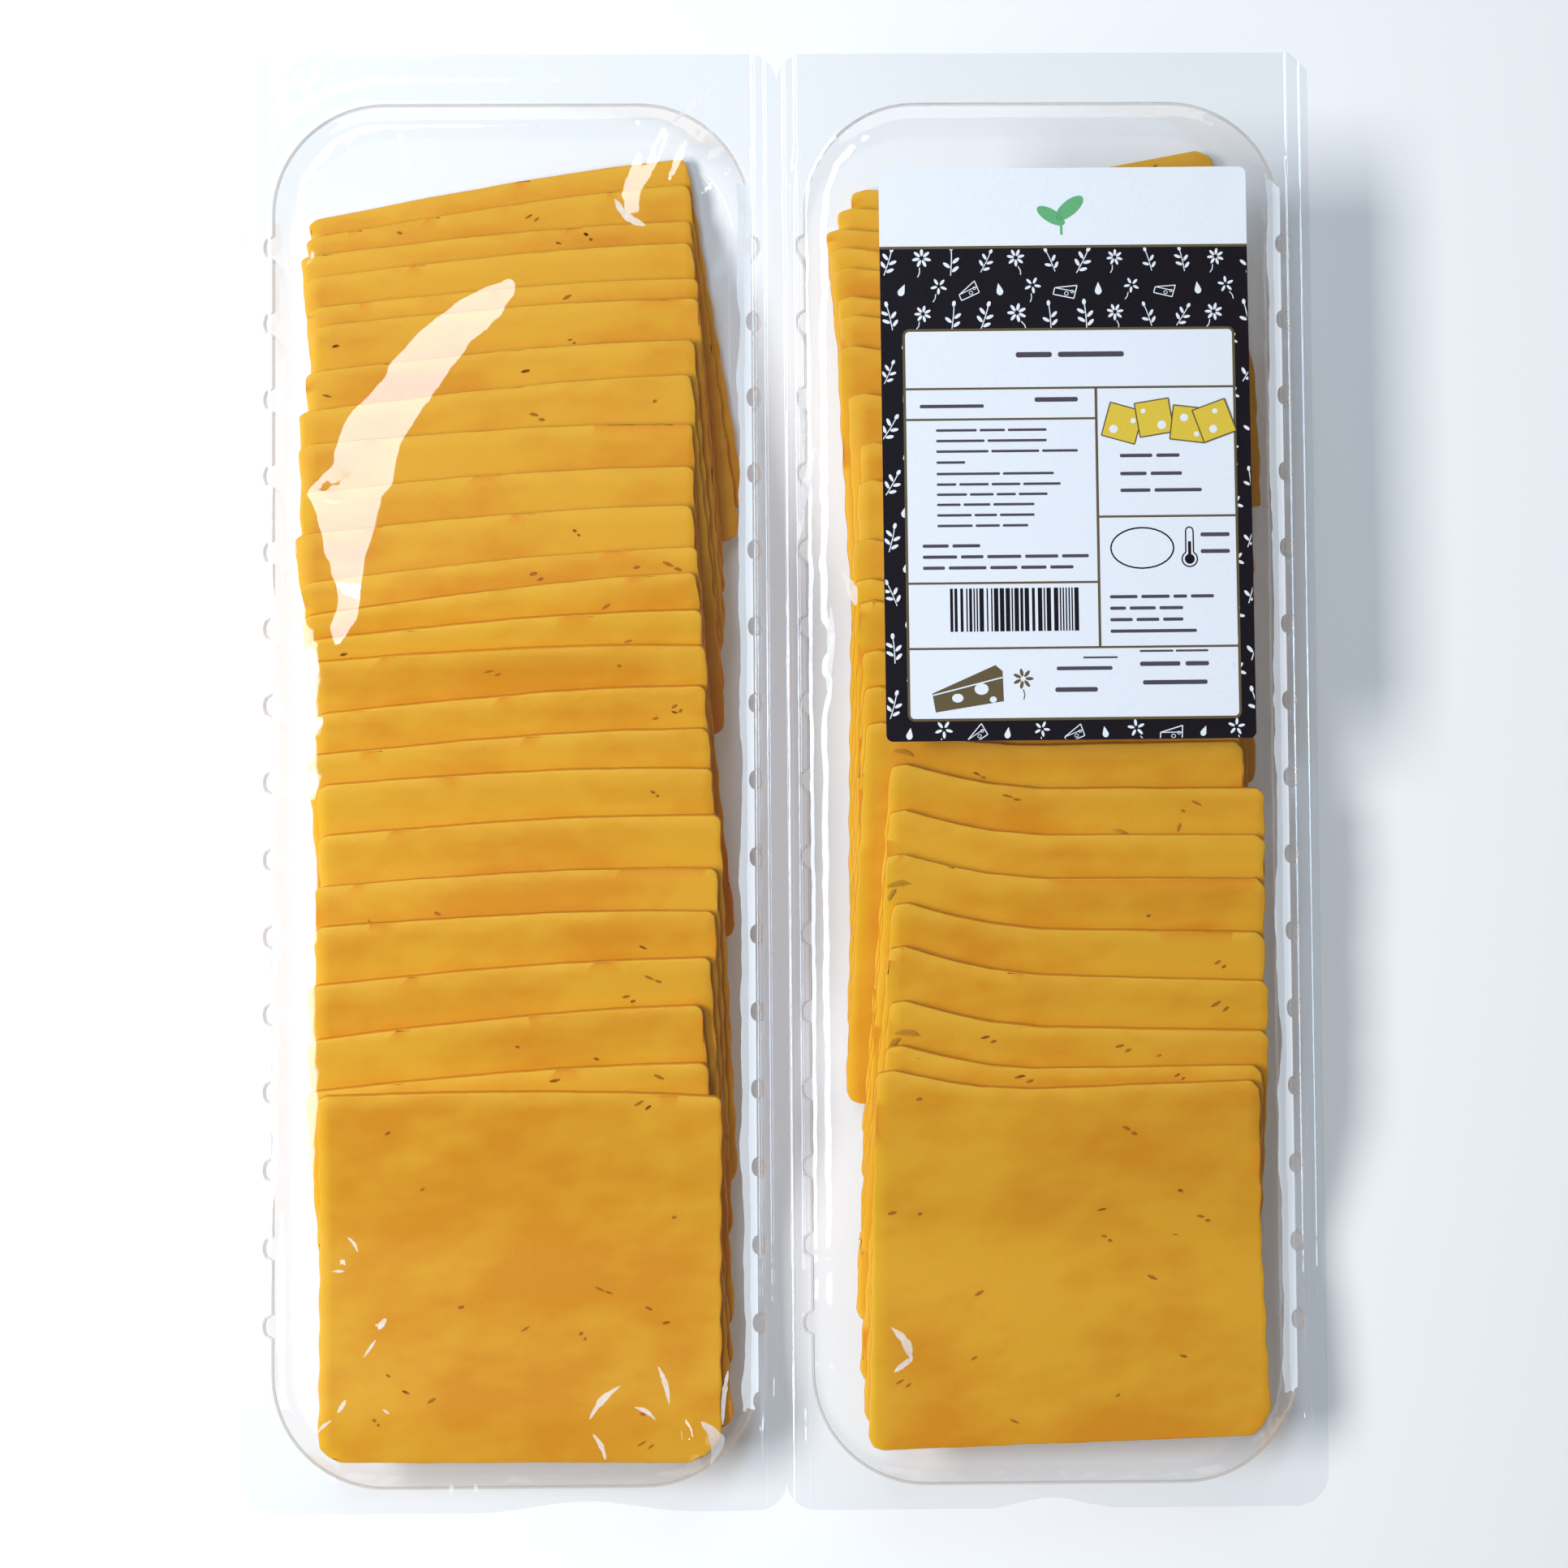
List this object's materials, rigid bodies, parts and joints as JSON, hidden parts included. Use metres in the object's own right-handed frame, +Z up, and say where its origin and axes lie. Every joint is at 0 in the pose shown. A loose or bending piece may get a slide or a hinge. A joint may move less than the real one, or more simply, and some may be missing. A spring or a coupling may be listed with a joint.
{
  "type": "pack of sliced cheese",
  "caption": "Clear twin tray holding shingled rows of square orange cheese slices, sealed under one clear film with a printed paper label.",
  "frame": {"origin": "on the ground under the middle of the pack, which lies flat with its film up", "axes": "+X across both trays, towards the labelled one; +Y along the rows, towards the first slice; +Z up"},
  "size_m": [0.242, 0.3286, 0.0343],
  "materials": {
    "tray_plastic": "clear thermoformed sheet, faintly blue",
    "top_film": "clear glossy film with wrinkles",
    "label_paper": "printed paper, slight sheen",
    "cheese": "smooth moist semi-hard cheese"
  },
  "bodies": {
    "root": {"tray": "tray_plastic", "film": "top_film", "label": "label_paper", "slice_l_01": "cheese", "slice_l_02": "cheese", "slice_l_03": "cheese", "slice_l_04": "cheese", "slice_l_05": "cheese", "slice_l_06": "cheese", "slice_l_07": "cheese", "slice_l_08": "cheese", "slice_l_09": "cheese", "slice_l_10": "cheese", "slice_l_11": "cheese", "slice_l_12": "cheese", "slice_l_13": "cheese", "slice_l_14": "cheese", "slice_l_15": "cheese", "slice_l_16": "cheese", "slice_l_17": "cheese", "slice_l_18": "cheese", "slice_l_19": "cheese", "slice_l_20": "cheese", "slice_l_21": "cheese", "slice_l_22": "cheese", "slice_l_23": "cheese", "slice_l_24": "cheese", "slice_l_25": "cheese", "slice_r_01": "cheese", "slice_r_02": "cheese", "slice_r_03": "cheese", "slice_r_04": "cheese", "slice_r_05": "cheese", "slice_r_06": "cheese", "slice_r_07": "cheese", "slice_r_08": "cheese", "slice_r_09": "cheese", "slice_r_10": "cheese", "slice_r_11": "cheese", "slice_r_12": "cheese", "slice_r_13": "cheese", "slice_r_14": "cheese", "slice_r_15": "cheese", "slice_r_16": "cheese", "slice_r_17": "cheese", "slice_r_18": "cheese", "slice_r_19": "cheese", "slice_r_20": "cheese", "slice_r_21": "cheese", "slice_r_22": "cheese", "slice_r_23": "cheese", "slice_r_24": "cheese", "slice_r_25": "cheese"}
  },
  "joints": []
}
